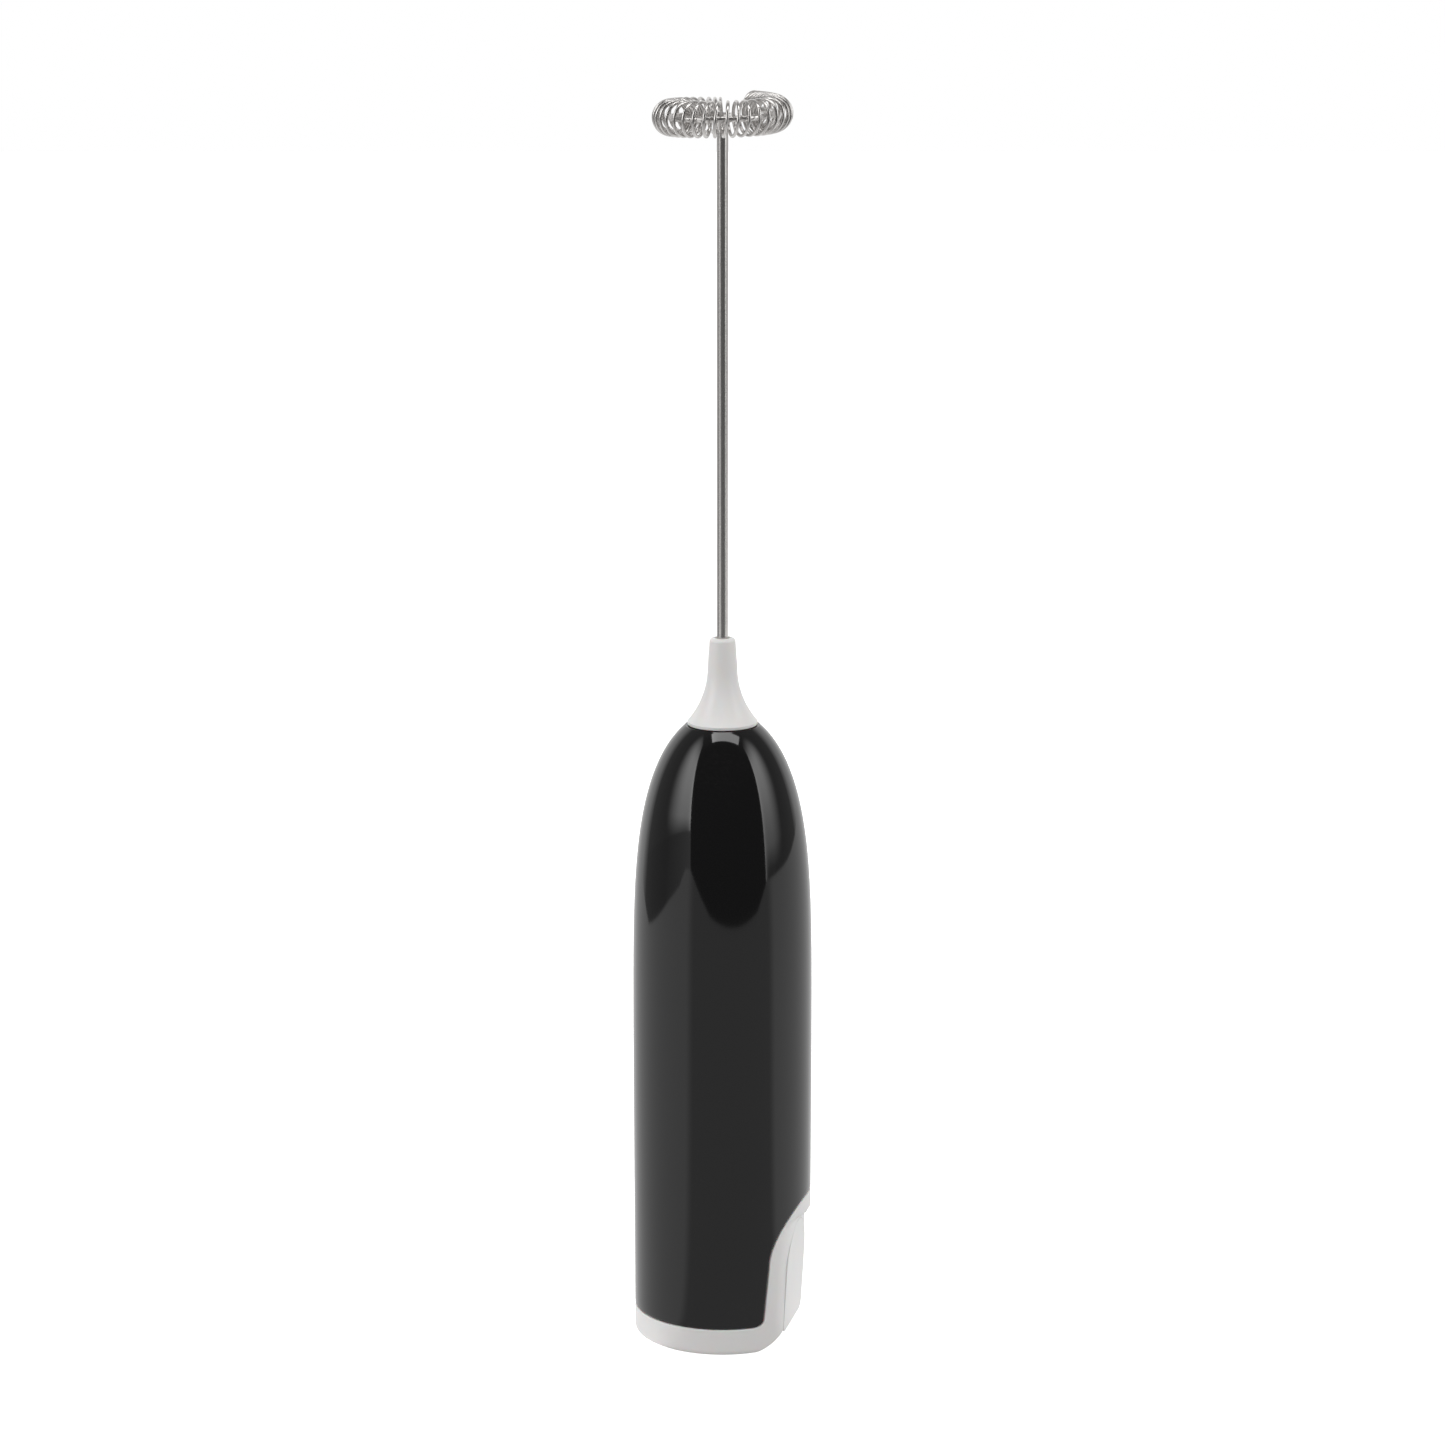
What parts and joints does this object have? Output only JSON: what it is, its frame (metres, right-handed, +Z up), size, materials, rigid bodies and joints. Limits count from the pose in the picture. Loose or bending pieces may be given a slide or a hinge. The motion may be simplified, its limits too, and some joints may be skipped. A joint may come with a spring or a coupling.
{
  "type": "milk frother",
  "caption": "Hand-held battery milk frother: bullet-shaped handle with a thumb button in an arched base, a nose cone, and a wire-coil ring whisk on a thin steel shaft.",
  "frame": {"origin": "centre of the base's underside, on the axis of the handle, on the surface that the frother stands on", "axes": "+Z up the axis of the handle and shaft to the whisk, +X towards the thumb button, +Y towards the cell whose nub points up"},
  "size_m": [0.032, 0.032, 0.2225],
  "materials": {
    "black_shell": "high gloss injection-moulded ABS",
    "white_plastic": "satin injection-moulded ABS",
    "grey_plastic": "matte injection-moulded",
    "natural_plastic": "unpigmented nylon",
    "whisk_steel": "drawn stainless wire",
    "bright_steel": "nickel plated",
    "cell_case": "nickel-plated steel, satin",
    "cell_sleeve": "printed shrink film, plain bands",
    "contact_brass": "rolled strip",
    "motor_steel": "zinc-plated deep-drawn steel",
    "sintered_bronze": "sintered, oil-filled",
    "ferrite": "pressed ferrite",
    "core_iron": "stacked laminations",
    "copper": "enamelled wire",
    "carbon": "copper-graphite blocks on spring strip",
    "fibre": "vulcanised fibre",
    "red_insulation": "PVC insulation",
    "black_insulation": "PVC insulation"
  },
  "bodies": {
    "base": {"base_cap": "white_plastic", "battery_cradle": "grey_plastic", "cradle_screws": "bright_steel", "hinge_pin": "bright_steel", "cell_can_left": "cell_case", "cell_can_right": "cell_case", "cell_sleeve_left": "cell_sleeve", "cell_sleeve_right": "cell_sleeve", "plus_strip": "contact_brass", "minus_strip": "contact_brass", "base_spring": "bright_steel"},
    "button": {"thumb_button": "white_plastic", "contact_bridge": "contact_brass", "torsion_spring": "bright_steel"},
    "housing": {"housing_shell": "black_shell", "nose_cone": "white_plastic", "motor_holder": "natural_plastic", "motor_screws": "bright_steel", "contact_carrier": "grey_plastic", "top_plate": "contact_brass", "top_spring": "bright_steel", "lead_red": "red_insulation", "lead_black": "black_insulation", "motor_can": "motor_steel", "motor_end_cap": "natural_plastic", "motor_magnets": "ferrite", "motor_brushes": "carbon", "front_bush": "sintered_bronze", "rear_bush": "sintered_bronze"},
    "whisk": {"motor_shaft": "bright_steel", "rotor_core": "core_iron", "rotor_windings": "copper", "commutator": "copper", "shaft_washers": "fibre", "shaft_coupler": "contact_brass", "whisk_shaft": "whisk_steel", "whisk_hoop": "whisk_steel", "whisk_coil": "whisk_steel"}
  },
  "joints": [
    {"name": "button_press", "type": "hinge", "parent": "base", "child": "button", "pos_m": [0.0108, 0, 0.0196], "axis": [0, 1, 0], "range_deg": [0, 4], "stiffness_Nm_per_rad": 0.12, "springref_deg": -2.86},
    {"name": "housing_lift", "type": "slide", "parent": "base", "child": "housing", "axis": [0, 0, 1], "range_m": [0, 0.07]},
    {"name": "whisk_spin", "type": "hinge", "parent": "housing", "child": "whisk", "pos_m": [0, 0, 0.1], "axis": [0, 0, 1], "continuous": true}
  ]
}
